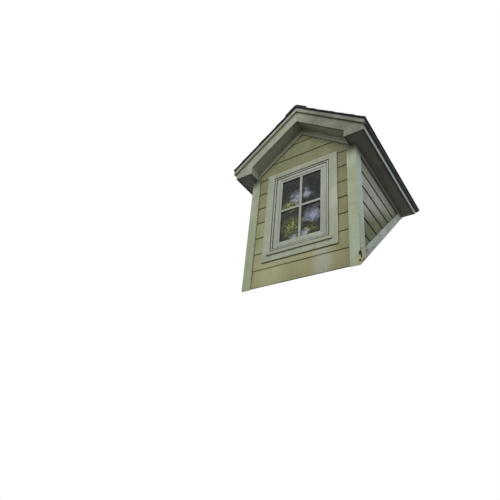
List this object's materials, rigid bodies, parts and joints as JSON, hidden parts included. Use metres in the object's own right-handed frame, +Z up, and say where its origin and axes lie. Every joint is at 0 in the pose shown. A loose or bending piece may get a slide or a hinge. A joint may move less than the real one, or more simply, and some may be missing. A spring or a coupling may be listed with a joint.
{
  "type": "dormer window",
  "caption": "Small gabled roof dormer with lap siding, corner boards, boxed eaves and one divided-light window, cut to sit on a sloping main roof.",
  "frame": {"origin": "middle of the underside of the front sole plate, on the plane of the main roof", "axes": "+X across the front to the right seen from outside, +Y into the roof, +Z up; the main roof is the plane through the X axis at 45 degrees"},
  "size_m": [1.466, 2.1526, 1.9998],
  "materials": {
    "framing_timber": "sawn softwood, unpainted",
    "sheathing_panel": "strand board, unpainted",
    "lap_siding": "khaki paint on fibre cement boards, stained by algae",
    "painted_trim": "pale grey-green paint, weathered",
    "soffit_panel": "matt grey-brown paint",
    "window_paint": "light grey-green cladding",
    "window_glass": "clear, dark room behind",
    "shingle": "charcoal mineral granules on asphalt",
    "black_metal": "black painted drip edge"
  },
  "bodies": {
    "root": {"front_sole_plate": "framing_timber", "left_sole_plate": "framing_timber", "right_sole_plate": "framing_timber", "front_wall_studs": "framing_timber", "window_header": "framing_timber", "window_rough_sill": "framing_timber", "left_wall_studs": "framing_timber", "right_wall_studs": "framing_timber", "front_top_plate": "framing_timber", "left_top_plate": "framing_timber", "right_top_plate": "framing_timber", "ridge_board": "framing_timber", "left_rafters": "framing_timber", "right_rafters": "framing_timber", "left_valley_board": "framing_timber", "right_valley_board": "framing_timber", "front_sheathing": "sheathing_panel", "left_sheathing": "sheathing_panel", "right_sheathing": "sheathing_panel", "left_roof_deck": "sheathing_panel", "right_roof_deck": "sheathing_panel", "front_siding": "lap_siding", "left_siding": "lap_siding", "right_siding": "lap_siding", "left_corner_board": "painted_trim", "right_corner_board": "painted_trim", "left_skirt_board": "painted_trim", "right_skirt_board": "painted_trim", "rake_frieze": "painted_trim", "left_eave_frieze": "painted_trim", "right_eave_frieze": "painted_trim", "window_casing": "painted_trim", "window_sill": "painted_trim", "window_frame": "window_paint", "window_sash": "window_paint", "window_glass": "window_glass", "rake_fascia": "painted_trim", "left_eave_fascia": "painted_trim", "right_eave_fascia": "painted_trim", "rake_soffit": "soffit_panel", "left_eave_soffit": "soffit_panel", "right_eave_soffit": "soffit_panel", "eave_returns": "painted_trim", "drip_edges": "black_metal", "left_shingles": "shingle", "right_shingles": "shingle", "ridge_cap": "shingle"}
  },
  "joints": []
}
